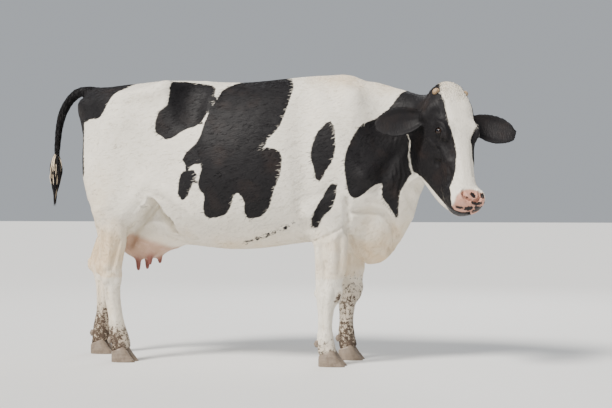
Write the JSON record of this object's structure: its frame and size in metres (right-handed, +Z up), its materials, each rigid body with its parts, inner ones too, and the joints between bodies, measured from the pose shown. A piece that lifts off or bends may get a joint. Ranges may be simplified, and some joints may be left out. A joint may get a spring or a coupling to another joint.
{
  "type": "cow",
  "caption": "Life-size standing dairy cow with a black-and-white coat, its head turned to its right, as a still display model.",
  "frame": {"origin": "middle of the base of the bounding box, at floor level", "axes": "+X forward along the body, +Y to the cow's left, +Z up"},
  "size_m": [2.3844, 0.831, 1.441],
  "materials": {
    "white_coat": "short haired hide, cream white",
    "black_coat": "short haired hide, brown black, slightly glossy",
    "udder_skin": "bare skin, matt, pink brown",
    "hoof_horn": "horn, satin, grown in fine rings",
    "horn_bud": "horn, matt tan",
    "eye": "wet and glossy, dark brown"
  },
  "bodies": {
    "root": {"trunk": "white_coat", "tail": "black_coat", "tail_switch": "black_coat", "neck": "black_coat", "head": "black_coat", "ear_right": "black_coat", "eye_right": "eye", "horn_bud_right": "horn_bud", "ear_left": "black_coat", "eye_left": "eye", "horn_bud_left": "horn_bud", "claw_fore_right_inner": "hoof_horn", "dewclaw_fore_right_inner": "hoof_horn", "claw_fore_right_outer": "hoof_horn", "dewclaw_fore_right_outer": "hoof_horn", "leg_fore_right": "white_coat", "claw_fore_left_inner": "hoof_horn", "dewclaw_fore_left_inner": "hoof_horn", "claw_fore_left_outer": "hoof_horn", "dewclaw_fore_left_outer": "hoof_horn", "leg_fore_left": "white_coat", "claw_hind_right_inner": "hoof_horn", "dewclaw_hind_right_inner": "hoof_horn", "claw_hind_right_outer": "hoof_horn", "dewclaw_hind_right_outer": "hoof_horn", "leg_hind_right": "white_coat", "claw_hind_left_inner": "hoof_horn", "dewclaw_hind_left_inner": "hoof_horn", "claw_hind_left_outer": "hoof_horn", "dewclaw_hind_left_outer": "hoof_horn", "leg_hind_left": "white_coat", "teat_rear_right": "udder_skin", "teat_rear_left": "udder_skin", "teat_front_right": "udder_skin", "teat_front_left": "udder_skin", "udder": "udder_skin"}
  },
  "joints": []
}
